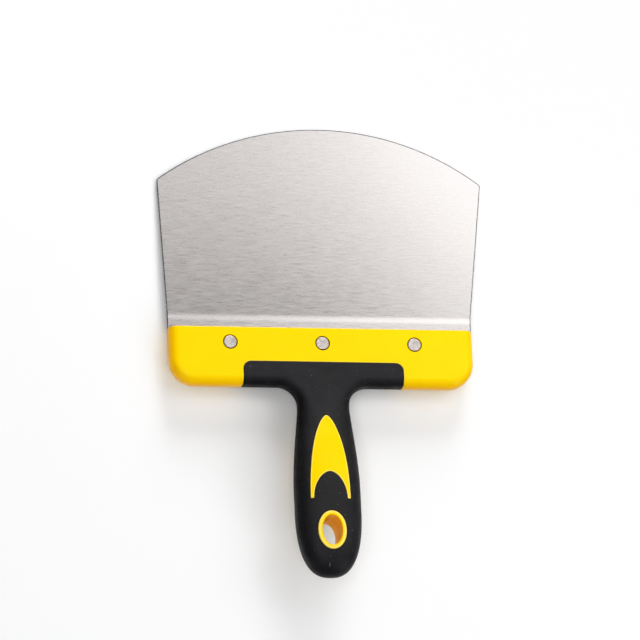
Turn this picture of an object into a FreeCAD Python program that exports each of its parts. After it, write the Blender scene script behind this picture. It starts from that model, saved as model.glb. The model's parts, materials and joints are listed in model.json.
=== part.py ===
import FreeCAD, Part
import math
import os

from FreeCAD import Placement, Rotation, Vector

# A wide scraper: a bent steel blade with a curved edge, riveted in the clamp bar of a two-colour handle.
#
# It is modelled in the bar's frame: X across, Y along the handle towards the blade's edge, Z up out of
# the front face. Y = 0 is the bar's front edge and Z = 0 is the middle of the blade's sheet. At the end
# every piece is turned as the tool lies on a table, on the blade's tip and the bar's lower front edge.

# ---- driving dimensions, mm ----

BLADE_THICKNESS = 1.2
BLADE_EDGE_WIDTH = 200.0      # corner to corner across the curved edge
BLADE_ROOT_WIDTH = 187.4      # at the bend and at the bar
BLADE_SIDE = 83.0             # straight side, from the bend to the corner
BLADE_EDGE_RISE = 32.0        # how far the curved edge bows out past its corners
BLADE_CORNER_ROUND = 2.0
BEND_ANGLE = 11.0             # degrees, towards the front face
BEND_RADIUS = 12.0            # at the middle of the sheet
BEND_TO_BAR = 7.5             # from the bend's corner line to the bar's front edge
TANG_WIDTH = 178.0
TANG_DEPTH = 24.0
TANG_CORNER_ROUND = 5.0

BAR_WIDTH = 187.0
BAR_DEPTH = 35.5
BAR_THICKNESS = 14.0
BAR_CORNER_ROUND = 15.5       # rear corners, seen from the front
BAR_SIDE_ROUND = 5.5          # sides and rear edge, nearly a half round
BAR_FRONT_ROUND = 0.8

# Lengths along the handle are measured back from the bar's rear edge.
HANDLE_LENGTH = 118.8
NECK_WIDTH = 31.6
NECK_THICKNESS = 13.6
NECK_FILLET = 12.0            # between the bar's rear edge and the neck
GRIP_WIDTH = 40.4
GRIP_THICKNESS = 22.4
GRIP_CAMBER = 0.7             # how far the grip's middle stands towards the front
GRIP_SQUARENESS = 2.4         # its section's exponent: 2 is an ellipse, more is squarer
GRIP_THICKENING = 60.0        # length over which it reaches its full thickness
GRIP_WAIST = 14.5             # where it starts to widen
GRIP_WIDENING = 53.0          # length over which it reaches its full width
GRIP_WIDENING_POWER = 1.1
BUTT_WIDTH_START = 76.5       # where the rounded end starts to narrow
BUTT_WIDTH_POWER = 2.5
BUTT_THICKNESS_START = 98.5   # where it starts to thin
BUTT_THICKNESS_POWER = 2.2
GRIP_STATIONS = (0.5, 10.5, 22.5, 36.5, 52.5, 68.5, 82.5, 94.5, 103.5)
BUTT_STATIONS = (0.62, 0.38, 0.2, 0.08, 0.015)    # shares of the last stretch, from the end
RUBBER_THICKNESS = 2.5
WEB_OVERLAP = 3.0             # how far the neck's web reaches into the bar past its round

T_WIDTH = 98.8                # the rubber's front on the bar
T_DEPTH = 14.1
T_CORNER_ROUND = 5.0
TIE_HOLE_SPACING = 64.0       # rubber plugs that lock the overmould through the bar
TIE_HOLE_DIAMETER = 5.0
TIE_HOLE_WALL = 1.5

RIVET_PITCH = 56.8
RIVET_SETBACK = 9.65          # behind the bar's front edge
RIVET_HEAD_DIAMETER = 7.8
RIVET_HEAD_THICKNESS = 1.1
RIVET_HEAD_CHAMFER = 0.15
RIVET_RECESS_DIAMETER = 9.0
RIVET_RECESS_DEPTH = 1.2
RIVET_TUBE_DIAMETER = 4.8
RIVET_TUBE_GAP = 1.0          # from the tube's end to the front head
RIVET_POST_DIAMETER = 3.2
RIVET_POST_GAP = 1.4          # from the post's end to the back head

INLAY_WIDTH = 24.4            # the spearhead, across its two tips
INLAY_TOP = 19.5              # its point
INLAY_LENGTH = 52.6
INLAY_POWERS = (1.6, 2.1)     # exponents of its outline, across and along
INLAY_ARCH_WIDTH = 20.6       # the hollow of its lower end
INLAY_ARCH_HEIGHT = 16.7
INLAY_ARCH_POWERS = (1.75, 2.0)

HANG_HOLE_WIDTH = 12.2
HANG_HOLE_LENGTH = 18.5
HANG_HOLE_SETBACK = 91.9      # its centre
SLEEVE_WALL = 2.65
SLEEVE_PROUD = 0.4

# ---- values that follow ----

HALF_SHEET = BLADE_THICKNESS / 2
HALF_BAR = BAR_THICKNESS / 2
BAR_REAR = -BAR_DEPTH
HANDLE_END = BAR_REAR - HANDLE_LENGTH
HANG_HOLE_Y = BAR_REAR - HANG_HOLE_SETBACK
RIVET_X = {"left": -RIVET_PITCH, "centre": 0.0, "right": RIVET_PITCH}
BEND = math.radians(BEND_ANGLE)
BEND_TANGENT = BEND_RADIUS * math.tan(BEND / 2)
BEND_START = BEND_TO_BAR - BEND_TANGENT
LOFT_START = BAR_REAR + 8.0   # inside the bar, so that the grip joins it
CORE_START = BAR_REAR + 9.0
NEAR = 0.01                   # tolerance for finding edges
TALL = 60.0                   # height of the cutting prisms, more than any piece is thick


# ---- small helpers ----

def xy_face(edges):
    """A flat face in the XY plane inside a closed run of edges."""
    return Part.Face(Part.Wire(edges))


def prism(face, bottom=-TALL / 2, top=TALL / 2):
    """The face, drawn at Z = 0, as a solid from bottom to top."""
    lowered = face.translated(Vector(0, 0, bottom))
    return lowered.extrude(Vector(0, 0, top - bottom))


def box(x_low, x_high, y_low, y_high, z_low, z_high):
    corner = Vector(x_low, y_low, z_low)
    return Part.makeBox(x_high - x_low, y_high - y_low, z_high - z_low, corner)


def cylinder(diameter, x, y, z_low, z_high):
    return Part.makeCylinder(diameter / 2, z_high - z_low, Vector(x, y, z_low))


def edges_where(shape, test):
    """The shape's edges whose middle point passes a test."""
    found = []
    for edge in shape.Edges:
        middle = edge.valueAt((edge.FirstParameter + edge.LastParameter) / 2)
        if test(middle):
            found.append(edge)
    return found


def single_solid(shape):
    """The one solid of a cleaned boolean result."""
    solids = shape.removeSplitter().Solids
    if len(solids) != 1:
        raise ValueError("expected one solid, found %d" % len(solids))
    return solids[0]


def smooth_step(t):
    t = min(1.0, max(0.0, t))
    return t * t * (3 - 2 * t)


# ---- blade ----

def blade_plate():
    """The blade ahead of the bend, drawn flat with Y from the bend's corner line, then turned up."""
    root = BLADE_ROOT_WIDTH / 2
    edge = BLADE_EDGE_WIDTH / 2
    corners = [
        Vector(-root, BEND_TANGENT, 0),
        Vector(root, BEND_TANGENT, 0),
        Vector(edge, BLADE_SIDE, 0),
        Vector(-edge, BLADE_SIDE, 0),
    ]
    tip = Vector(0, BLADE_SIDE + BLADE_EDGE_RISE, 0)
    outline = [
        Part.makeLine(corners[0], corners[1]),
        Part.makeLine(corners[1], corners[2]),
        Part.Arc(corners[2], tip, corners[3]).toShape(),
        Part.makeLine(corners[3], corners[0]),
    ]
    plate = prism(xy_face(outline), -HALF_SHEET, HALF_SHEET)
    at_corner = edges_where(plate, lambda p: abs(p.y - BLADE_SIDE) < NEAR and abs(p.z) < NEAR)
    plate = plate.makeFillet(BLADE_CORNER_ROUND, at_corner)
    plate.rotate(Vector(0, 0, 0), Vector(1, 0, 0), BEND_ANGLE)
    plate.translate(Vector(0, BEND_TO_BAR, 0))
    return plate


def blade_bend():
    """The curved strip between the flat of the bar and the blade's plate."""
    root = BLADE_ROOT_WIDTH / 2
    section = Part.makePolygon([
        Vector(-root, BEND_START, -HALF_SHEET),
        Vector(root, BEND_START, -HALF_SHEET),
        Vector(root, BEND_START, HALF_SHEET),
        Vector(-root, BEND_START, HALF_SHEET),
        Vector(-root, BEND_START, -HALF_SHEET),
    ])
    axis_point = Vector(0, BEND_START, BEND_RADIUS)
    return Part.Face(section).revolve(axis_point, Vector(1, 0, 0), BEND_ANGLE)


def blade_tang():
    """The strip in front of the bar, and the narrower tang in the bar's slot with its rivet holes."""
    root = BLADE_ROOT_WIDTH / 2
    half = TANG_WIDTH / 2
    strip = box(-root, root, 0, BEND_START, -HALF_SHEET, HALF_SHEET)
    tang = box(-half, half, -TANG_DEPTH, 0, -HALF_SHEET, HALF_SHEET)
    at_rear = edges_where(tang, lambda p: abs(p.y + TANG_DEPTH) < NEAR and abs(p.z) < NEAR)
    tang = tang.makeFillet(TANG_CORNER_ROUND, at_rear)
    for x in RIVET_X.values():
        tang = tang.cut(cylinder(RIVET_TUBE_DIAMETER, x, -RIVET_SETBACK, -TALL, TALL))
    return strip.fuse(tang)


def make_blade():
    return single_solid(blade_plate().fuse(blade_bend()).fuse(blade_tang()))


# ---- outer shape of the handle ----

def make_bar():
    """The clamp bar: crisp at the front, rounded at the sides and the rear."""
    half = BAR_WIDTH / 2
    bar = box(-half, half, BAR_REAR, 0, -HALF_BAR, HALF_BAR)
    upright = edges_where(bar, lambda p: abs(p.y - BAR_REAR) < NEAR and abs(p.z) < NEAR)
    bar = bar.makeFillet(BAR_CORNER_ROUND, upright)

    def on_side_or_rear(p):
        return abs(abs(p.z) - HALF_BAR) < NEAR and p.y < -NEAR

    bar = bar.makeFillet(BAR_SIDE_ROUND, edges_where(bar, on_side_or_rear))
    at_front = edges_where(bar, lambda p: abs(p.y) < NEAR)
    return bar.makeFillet(BAR_FRONT_ROUND, at_front)


def make_neck_flange():
    """The flat web that carries the bar's rear edge round into the neck."""
    neck = NECK_WIDTH / 2
    wide = T_WIDTH / 2
    inside = BAR_REAR + BAR_SIDE_ROUND + WEB_OVERLAP
    turn = neck + NECK_FILLET
    fillet_end = BAR_REAR - NECK_FILLET
    end = fillet_end - 2.0
    slant = NECK_FILLET * math.sqrt(0.5)

    def side(s):
        """One side of the web, from the bar towards the neck, on the side with sign s."""
        middle = Vector(s * (turn - slant), fillet_end + slant, 0)
        arc = Part.Arc(Vector(s * turn, BAR_REAR, 0), middle, Vector(s * neck, fillet_end, 0))
        return [
            Part.makeLine(Vector(s * wide, inside, 0), Vector(s * wide, BAR_REAR, 0)),
            Part.makeLine(Vector(s * wide, BAR_REAR, 0), Vector(s * turn, BAR_REAR, 0)),
            arc.toShape(),
            Part.makeLine(Vector(s * neck, fillet_end, 0), Vector(s * neck, end, 0)),
        ]

    across = [
        Part.makeLine(Vector(-neck, end, 0), Vector(neck, end, 0)),
        Part.makeLine(Vector(-wide, inside, 0), Vector(wide, inside, 0)),
    ]
    edges = Part.__sortEdges__(side(-1) + side(1) + across)
    web = prism(xy_face(edges), -HALF_BAR, HALF_BAR)

    def on_rim(p):
        on_face = abs(abs(p.z) - HALF_BAR) < NEAR
        between = end + NEAR < p.y < BAR_REAR + NEAR
        return on_face and between

    return web.makeFillet(BAR_SIDE_ROUND, edges_where(web, on_rim))


def grip_half_sizes(y, inset):
    """Half the grip's width and thickness at y, set in from the outer surface by inset."""
    back = BAR_REAR - y
    widening = min(1.0, max(0.0, (back - GRIP_WAIST) / GRIP_WIDENING))
    swell = math.sin(widening * math.pi / 2) ** GRIP_WIDENING_POWER
    half_width = (NECK_WIDTH + (GRIP_WIDTH - NECK_WIDTH) * swell) / 2
    thickening = smooth_step(back / GRIP_THICKENING)
    half_thickness = (NECK_THICKNESS + (GRIP_THICKNESS - NECK_THICKNESS) * thickening) / 2
    return half_width - inset, half_thickness - inset


def butt_factors(y, inset):
    """How far the rounded butt has drawn the width and the thickness in at y, each from 1 to 0."""
    end = HANDLE_END + inset

    def factor(setback, power):
        start = BAR_REAR - setback
        if y >= start:
            return 1.0
        along = (start - y) / (start - end)
        return (1 - along ** power) ** (1 / power)

    width_factor = factor(BUTT_WIDTH_START, BUTT_WIDTH_POWER)
    return width_factor, factor(BUTT_THICKNESS_START, BUTT_THICKNESS_POWER)


def grip_section(y, inset):
    """A closed cross-section of the grip, a soft-cornered oval, as a wire."""
    power = 2 / GRIP_SQUARENESS
    half_width, half_thickness = grip_half_sizes(y, inset)
    width_factor, thickness_factor = butt_factors(y, inset)
    camber = GRIP_CAMBER * smooth_step((BAR_REAR - GRIP_WAIST - y) / GRIP_THICKENING)
    points = []
    count = 28
    for i in range(count):
        angle = 2 * math.pi * i / count
        c = math.cos(angle)
        s = math.sin(angle)
        x = math.copysign(abs(c) ** power, c) * half_width * width_factor
        z = math.copysign(abs(s) ** power, s) * half_thickness * thickness_factor
        points.append(Vector(x, y, z + camber))
    curve = Part.BSplineCurve()
    curve.interpolate(points, PeriodicFlag=True)
    return Part.Wire(curve.toShape())


def grip_loft(inset, start):
    """The grip's solid from start, inside the bar, back to the butt, set in by inset all round."""
    end = HANDLE_END + inset
    grip = [BAR_REAR - setback for setback in GRIP_STATIONS]
    butt = [end + (grip[-1] - end) * share for share in BUTT_STATIONS]
    wires = [grip_section(y, inset) for y in [start] + grip + butt]
    return Part.makeLoft(wires, True, False)


# ---- regions that divide yellow from black ----

def rubber_region():
    """Everything behind the T's outline: the rubber's part of the handle, seen from the front."""
    half = T_WIDTH / 2
    top = BAR_REAR + T_DEPTH
    region = box(-half, half, HANDLE_END - TALL, top, -TALL / 2, TALL / 2)
    upright = edges_where(region, lambda p: abs(p.y - top) < NEAR and abs(p.z) < NEAR)
    return region.makeFillet(T_CORNER_ROUND, upright)


def arch_curve(half_width, height, base_y, powers):
    """An arch from its left foot over its crown to its right foot, as one smooth curve."""
    width_power, height_power = powers
    count = 17
    points = []
    for i in range(count):
        turn = math.pi * i / (count - 1)
        up = math.sin(turn)
        across = max(0.0, 1 - up ** height_power) ** (1 / width_power)
        x = math.copysign(half_width * across, -math.cos(turn))
        points.append(Vector(x, base_y + height * up, 0))
    curve = Part.BSplineCurve()
    curve.interpolate(points)
    return curve.toShape()


def inlay_face():
    """The spearhead seen from the front: a pointed arch with a smaller arch taken out of its foot."""
    foot = BAR_REAR - INLAY_TOP - INLAY_LENGTH
    outer = INLAY_WIDTH / 2
    inner = INLAY_ARCH_WIDTH / 2
    edges = [
        arch_curve(outer, INLAY_LENGTH, foot, INLAY_POWERS),
        arch_curve(inner, INLAY_ARCH_HEIGHT, foot, INLAY_ARCH_POWERS),
        Part.makeLine(Vector(-outer, foot, 0), Vector(-inner, foot, 0)),
        Part.makeLine(Vector(inner, foot, 0), Vector(outer, foot, 0)),
    ]
    return xy_face(Part.__sortEdges__(edges))


def oval_face(width, length, y):
    """An oval with its long axis along Y."""
    ellipse = Part.Ellipse(Vector(0, y, 0), length / 2, width / 2)
    edge = ellipse.toShape()
    edge.rotate(Vector(0, y, 0), Vector(0, 0, 1), 90)
    return xy_face([edge])


# ---- handle core and rubber ----

def handle_outer(bar):
    """The whole handle as the hand meets it, without its openings."""
    return bar.fuse(make_neck_flange()).fuse(grip_loft(0.0, LOFT_START))


def core_blank(bar, outer):
    """The yellow moulding before its slot and holes are taken out."""
    half_t = T_WIDTH / 2
    t_top = BAR_REAR + T_DEPTH
    web_half = HALF_BAR - RUBBER_THICKNESS
    web = box(-half_t, half_t, BAR_REAR + RUBBER_THICKNESS, t_top, -web_half, web_half)
    inlay = prism(inlay_face()).common(outer)
    sleeve_width = HANG_HOLE_WIDTH + 2 * SLEEVE_WALL
    sleeve_length = HANG_HOLE_LENGTH + 2 * SLEEVE_WALL
    sleeve = prism(oval_face(sleeve_width, sleeve_length, HANG_HOLE_Y))
    sleeve = sleeve.common(grip_loft(-SLEEVE_PROUD, LOFT_START))
    blank = bar.cut(rubber_region()).fuse(web)
    for piece in (grip_loft(RUBBER_THICKNESS, CORE_START), inlay, sleeve):
        blank = blank.fuse(piece)
    for side in (-1, 1):
        x = side * TIE_HOLE_SPACING / 2
        y = BAR_REAR + RUBBER_THICKNESS + TIE_HOLE_DIAMETER / 2 + TIE_HOLE_WALL
        blank = blank.cut(cylinder(TIE_HOLE_DIAMETER, x, y, -TALL, TALL))
    return blank


def make_core(blank):
    """The yellow moulding: bar with its slot and rivet holes, grip core, inlay and hang-hole sleeve."""
    half = TANG_WIDTH / 2
    slot = box(-half, half, -TANG_DEPTH, 0, -HALF_SHEET, HALF_SHEET)
    at_rear = edges_where(slot, lambda p: abs(p.y + TANG_DEPTH) < NEAR and abs(p.z) < NEAR)
    slot = slot.makeFillet(TANG_CORNER_ROUND, at_rear)
    core = blank.cut(slot)
    floor = HALF_BAR - RIVET_RECESS_DEPTH
    for x in RIVET_X.values():
        core = core.cut(cylinder(RIVET_TUBE_DIAMETER, x, -RIVET_SETBACK, -TALL, TALL))
        core = core.cut(cylinder(RIVET_RECESS_DIAMETER, x, -RIVET_SETBACK, floor, TALL))
        core = core.cut(cylinder(RIVET_RECESS_DIAMETER, x, -RIVET_SETBACK, -TALL, -floor))
    return single_solid(core.cut(hang_hole()))


def hang_hole():
    return prism(oval_face(HANG_HOLE_WIDTH, HANG_HOLE_LENGTH, HANG_HOLE_Y))


def make_rubber(outer, blank):
    """The black overmould: everything behind the T's outline that the core doesn't fill."""
    return single_solid(outer.common(rubber_region()).cut(blank).cut(hang_hole()))


# ---- rivets ----

def rivet_head(x, low, outer_face):
    """A flat head whose outer rim is broken by a small chamfer; outer_face is +1 at the front."""
    head = cylinder(RIVET_HEAD_DIAMETER, x, -RIVET_SETBACK, low, low + RIVET_HEAD_THICKNESS)
    outside = low + RIVET_HEAD_THICKNESS if outer_face > 0 else low
    rim = edges_where(head, lambda p: abs(p.z - outside) < NEAR)
    return head.makeChamfer(RIVET_HEAD_CHAMFER, rim)


def rivet_post(x):
    """The front half: a head on a solid post."""
    under_head = HALF_BAR - RIVET_RECESS_DEPTH
    tip = -under_head + RIVET_POST_GAP
    post = cylinder(RIVET_POST_DIAMETER, x, -RIVET_SETBACK, tip, under_head)
    return single_solid(rivet_head(x, under_head, 1).fuse(post))


def rivet_cap(x):
    """The back half: a head on a tube, into which the post is pressed."""
    under_head = HALF_BAR - RIVET_RECESS_DEPTH
    tube_end = under_head - RIVET_TUBE_GAP
    tube = cylinder(RIVET_TUBE_DIAMETER, x, -RIVET_SETBACK, -under_head, tube_end)
    bore = cylinder(RIVET_POST_DIAMETER, x, -RIVET_SETBACK, -under_head, under_head)
    head = rivet_head(x, -under_head - RIVET_HEAD_THICKNESS, -1)
    return single_solid(head.fuse(tube.cut(bore)))


# ---- how the tool lies on a table ----

def rest_angle():
    """The table's slope in the bar's frame, on the blade's tip and the bar's rounded lower front edge."""
    reach = BLADE_SIDE + BLADE_EDGE_RISE
    tip_y = BEND_TO_BAR + reach * math.cos(BEND) + HALF_SHEET * math.sin(BEND)
    tip_z = reach * math.sin(BEND) - HALF_SHEET * math.cos(BEND)
    run = tip_y + BAR_FRONT_ROUND
    rise = tip_z + HALF_BAR - BAR_FRONT_ROUND
    return math.atan2(rise, run) + math.asin(BAR_FRONT_ROUND / math.hypot(run, rise))


def rest_placement(angle, pieces):
    """Turns the tool onto the table, then centres it over the origin with its lowest point at Z = 0."""
    turn = Placement(Vector(0, 0, 0), Rotation(Vector(1, 0, 0), -math.degrees(angle)))
    boxes = [piece.transformed(turn.toMatrix()).optimalBoundingBox() for piece in pieces]
    middle = (min(b.YMin for b in boxes) + max(b.YMax for b in boxes)) / 2
    bottom = min(b.ZMin for b in boxes)
    return Placement(Vector(0, -middle, -bottom), turn.Rotation)


def main():
    os.makedirs("parts", exist_ok=True)
    bar = make_bar()
    outer = handle_outer(bar)
    blank = core_blank(bar, outer)
    nodes = {
        "blade": make_blade(),
        "handle_core": make_core(blank),
        "grip_overmould": make_rubber(outer, blank),
    }
    for name, x in RIVET_X.items():
        nodes["rivet_%s_post" % name] = rivet_post(x)
        nodes["rivet_%s_cap" % name] = rivet_cap(x)
    placement = rest_placement(rest_angle(), nodes.values())
    for name, shape in nodes.items():
        placed = shape.transformed(placement.toMatrix())
        print("%-20s valid %s  volume %10.1f mm3" % (name, placed.isValid(), placed.Volume))
        placed.exportStep("parts/%s.step" % name)
    print("rest angle %.3f degrees, origin moved by %s" % (math.degrees(rest_angle()), placement.Base))


main()
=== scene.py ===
import json
import math

import bmesh
import bpy
import numpy as np
from mathutils import Matrix, Vector
from mathutils.geometry import delaunay_2d_cdt


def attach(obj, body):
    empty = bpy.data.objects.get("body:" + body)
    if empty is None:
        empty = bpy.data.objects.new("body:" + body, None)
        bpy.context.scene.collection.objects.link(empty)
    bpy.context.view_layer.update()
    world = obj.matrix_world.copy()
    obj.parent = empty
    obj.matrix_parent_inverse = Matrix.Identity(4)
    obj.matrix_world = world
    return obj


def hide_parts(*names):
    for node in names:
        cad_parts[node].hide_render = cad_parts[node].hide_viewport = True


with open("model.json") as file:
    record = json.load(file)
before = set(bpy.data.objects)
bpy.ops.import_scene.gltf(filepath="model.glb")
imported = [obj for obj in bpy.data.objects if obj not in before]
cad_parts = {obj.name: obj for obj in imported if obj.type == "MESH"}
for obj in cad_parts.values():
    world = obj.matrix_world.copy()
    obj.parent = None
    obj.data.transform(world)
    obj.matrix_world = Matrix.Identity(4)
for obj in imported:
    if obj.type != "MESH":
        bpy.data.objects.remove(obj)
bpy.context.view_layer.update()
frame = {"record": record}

# The shapes are worked out in the clamp bar's own frame, in millimetres: X across the tool, Y along the
# handle towards the blade's edge, Z out of the front face. Y = 0 is the bar's front edge and Z = 0 is
# the middle of the blade's sheet. The hang-hole mount says where that frame lies in the row's frame.
# A line in the XY plane is called a plan line, and it runs with the material on its left.

MM = 0.001

# ---- sizes, as in the CAD model ----

BAR_HALF_WIDTH = 93.5
BAR_REAR = -35.5
BAR_HALF = 7.0                # half its thickness
BAR_CORNER = 15.5
BAR_ROUND = 5.5
BAR_BAND = BAR_HALF - BAR_ROUND
BAR_FRONT_ROUND = 0.8

NECK_HALF = 15.8
NECK_FILLET = 12.0
NECK_Y = BAR_REAR - NECK_FILLET
FILLET_X = NECK_HALF + NECK_FILLET
GRIP_HALF_WIDTH = 20.2
GRIP_HALF = 11.2              # half its thickness
GRIP_CAMBER = 0.7
GRIP_SQUARENESS = 2.4         # its section's exponent: 2 is an ellipse, and more is squarer
GRIP_THICKENING = 60.0        # the length over which it reaches its full thickness
NECK_BLEND = 30.0             # the length over which the flat bar turns into the oval grip
WAIST_Y = -50.0
WIDENING = 53.0               # the length over which the grip reaches its full width
WIDENING_POWER = 1.1
BUTT_START = -112.0
BUTT_POWER = 2.5
THIN_START = -134.0
THIN_POWER = 2.2
HANDLE_END = -154.3

T_HALF = 49.4
T_TOP = -21.4
T_CORNER = 5.0

INLAY_FOOT = -107.6
INLAY_LENGTH = 52.6
INLAY_HALF = 12.2
ARCH_HALF = 10.3
ARCH_HEIGHT = 16.7

HOLE_Y = -127.4
HOLE_MIDDLE = (0.0, HOLE_Y, GRIP_CAMBER)
HOLE_HALF_WIDTH = 6.1
HOLE_HALF_LENGTH = 9.25
SLEEVE_WALL = 2.65
SLEEVE_PROUD = 0.4

RIVET_Y = -9.65
RIVET_X = {"left": -56.8, "centre": 0.0, "right": 56.8}
RIVET_HEAD_RADIUS = 3.9
RIVET_HEAD = 1.1              # a head's height over its recess's floor
RECESS_RADIUS = 4.5
RECESS_FLOOR = 5.8
POST_RADIUS = 1.6
POST_TIP = -4.4
TUBE_RADIUS = 2.4
TUBE_BORE = 1.62              # a little over the post, so that their faces stay apart
TUBE_END = 4.8

SHEET_HALF = 0.6
BLADE_ROOT = 93.7
BLADE_EDGE = 100.0
BLADE_SIDE = 83.0
BLADE_RISE = 32.0
BLADE_CORNER = 2.0
BEND_ANGLE = math.radians(11.0)
BEND_RADIUS = 25.0            # softer than the CAD model's, within 0.1 mm of it
BEND_TO_BAR = 7.5             # from the bend's corner line to the bar's front edge
BEND_TANGENT = BEND_RADIUS * math.tan(BEND_ANGLE / 2)
BEND_START = BEND_TO_BAR - BEND_TANGENT
BEND_LENGTH = BEND_RADIUS * BEND_ANGLE
TANG_HALF = 89.0
TANG_DEPTH = 24.0

# ---- fine detail ----

SEAM_GAP = 0.06               # each side of the line where rubber and plastic meet
SEAM_ROUND = 0.28
SEAM_DEPTH = 1.2
INLAY_PROUD = 0.1
RIM_HIGHLIGHT = 0.5                # how far the painted highlight along the inlay's edge runs in over it
PARTING_RIDGE = 0.08
PARTING_HALF = 0.25
GATE_X, GATE_Y = -2.2, -148.6
GATE_HALF_WIDTH, GATE_HALF_LENGTH = 0.28, 1.1
GATE_PROUD = 0.3
SLOT_GAP = 0.05               # between the blade's tang and its slot
LIP_OUTER, LIP_INNER = 0.75, 0.7              # the rounds of the hang sleeve's lip
SLEEVE_DRAFT = 0.12           # how far the hole narrows towards its middle
SLEEVE_FLASH = 0.2            # the height of the parting line inside it
BLADE_ARRIS = 0.22            # the rounding along the sheet's edges
BLADE_GROUND = 0.36           # how far in the nearly black edge band reaches: the cut edge's darker tone, and a painted dark reflection along it
BLADE_BORDER = 0.55

GRIP_RIM = 6.4                # how far in the mesh's rows along the grip's outline run
EDGE_STEP = 1.5               # between a mesh's points along a straight edge
CURVED_STEP = 1.3             # inside a curved surface
FLAT_STEP = 4.0               # inside a flat one


def bar_frame():
    """The matrix from the bar's frame in millimetres to the row's frame in metres."""
    mount = next(m for m in frame["record"]["mounts"] if m["name"] == "hang_hole")
    tilt = math.atan2(mount["axis"][1], mount["axis"][2])
    turn = Matrix.Rotation(-tilt, 4, "X") @ Matrix.Scale(MM, 4)
    shift = Vector(mount["pos_m"]) - turn @ Vector(HOLE_MIDDLE)
    return Matrix.Translation(shift) @ turn


BAR_TO_ROW = bar_frame()


# ---- mesh helpers ----

JOIN = 5e-4                   # points this close become one
THINNEST = 1e-4               # edges and faces this thin are taken out
RECESS_SHADE = -1.0                  # the level of the painted shade in a recess, and the lowest level there is
SHARPEST = 0.6                # the cosine of half the sharpest turn that a mitre follows in full
CLEAR_SHARE = 0.6             # of a grid's spacing, kept free along its border


class Shell:
    """Faces gathered as rows of points and patches; equal points are joined when the mesh is made."""

    def __init__(self):
        self.points = []
        self.edge_tone_and_painted_light = []
        self.faces = []

    def add_points(self, points, edge_tone_and_painted_light=0.0):
        first = len(self.points)
        self.points.extend(tuple(map(float, p)) for p in points)
        self.edge_tone_and_painted_light.extend([edge_tone_and_painted_light] * len(points))
        return first

    def rows(self, rows, closed=False, edge_tone_and_painted_light=0.0):
        """Quads between each row of points and the next, with one level of painted light and edge tone or
        one for each row.
        """
        count = len(rows[0])
        starts = [self.add_points(row, w) for row, w in zip(rows, np.broadcast_to(edge_tone_and_painted_light, len(rows)))]
        for a, b in zip(starts[:-1], starts[1:]):
            for i in range(count if closed else count - 1):
                j = (i + 1) % count
                self.faces.append((a + i, a + j, b + j, b + i))

    def patch(self, points, faces, edge_tone_and_painted_light=0.0):
        first = self.add_points(points, edge_tone_and_painted_light)
        self.faces.extend(tuple(first + i for i in face) for face in faces)

    def cap(self, row):
        self.patch(row, [range(len(row))])

    def shared_edge_tone_and_painted_light(self):
        """Each point's level of painted light and edge tone, or the most of it where several points are at
        one place.
        """
        _, place = np.unique(np.round(np.array(self.points) / JOIN), axis=0, return_inverse=True)
        most = np.full(place.max() + 1, RECESS_SHADE)
        np.maximum.at(most, place.ravel(), self.edge_tone_and_painted_light)
        return most[place.ravel()]

    def piece(self, name, slot, material, replaced=(), sharp=50.0, shape=None):
        """Makes the object in the row's frame, riding on the one body. shape maps the points first."""
        mesh = bpy.data.meshes.new(name)
        mesh.from_pydata(self.points, [], self.faces)
        # The level goes to the mesh. Over 0 it paints highlights on yellow and rubber edges and darkens the
        # blade's edge. Under 0 it is painted shade.
        mesh.attributes.new("painted_light_and_edge_tone", "FLOAT", "POINT").data.foreach_set("value", self.shared_edge_tone_and_painted_light())
        build = bmesh.new()
        build.from_mesh(mesh)
        bmesh.ops.remove_doubles(build, verts=build.verts, dist=JOIN)
        bmesh.ops.dissolve_degenerate(build, edges=build.edges, dist=THINNEST)
        bmesh.ops.recalc_face_normals(build, faces=build.faces)
        along_y = build.loops.layers.uv.new("along_y")
        for face in build.faces:
            for loop in face.loops:
                loop[along_y].uv = (loop.vert.co.y / 100, loop.vert.co.x / 100)
        build.to_mesh(mesh)
        build.free()
        if shape:
            flat = np.array([v.co for v in mesh.vertices])
            mesh.vertices.foreach_set("co", shape(flat).ravel())
        mesh.transform(BAR_TO_ROW)
        mesh.polygons.foreach_set("use_smooth", [True] * len(mesh.polygons))
        mesh.set_sharp_from_angle(angle=math.radians(sharp))
        mesh.materials.append(material)
        piece = bpy.data.objects.new(name, mesh)
        bpy.context.scene.collection.objects.link(piece)
        even = piece.modifiers.new("even_shading", "WEIGHTED_NORMAL")
        even.keep_sharp = True
        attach(piece, "root")
        if replaced:
            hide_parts(*replaced)
        return piece


def smooth_step(t):
    t = np.clip(t, 0.0, 1.0)
    return t * t * (3 - 2 * t)


def with_height(plan, height):
    """Plan points with their heights, as rows of (x, y, z)."""
    return np.column_stack([plan, np.broadcast_to(height, len(plan))])


def mitres(points, closed):
    """At each point of a plan line, the step to its left that moves both neighbouring runs out by 1."""
    points = np.asarray(points, float)
    if closed:
        before = points - np.roll(points, 1, axis=0)
        after = np.roll(points, -1, axis=0) - points
    else:
        runs = np.diff(points, axis=0)
        before = np.vstack([runs[:1], runs])
        after = np.vstack([runs, runs[-1:]])
    before /= np.linalg.norm(before, axis=1)[:, None]
    after /= np.linalg.norm(after, axis=1)[:, None]
    middle = before + after
    middle /= np.linalg.norm(middle, axis=1)[:, None]
    stretch = 1 / np.maximum(SHARPEST, (middle * before).sum(axis=1))
    return np.column_stack([-middle[:, 1], middle[:, 0]]) * stretch[:, None]


def offset_line(points, distance):
    """A closed plan line moved to its left."""
    return points + mitres(points, True) * distance


def arc_points(centre, radius, start, end, count):
    """Points on an arc, angles in degrees, both ends included."""
    angles = np.radians(np.linspace(start, end, count))
    return np.column_stack([centre[0] + radius * np.cos(angles), centre[1] + radius * np.sin(angles)])


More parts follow.
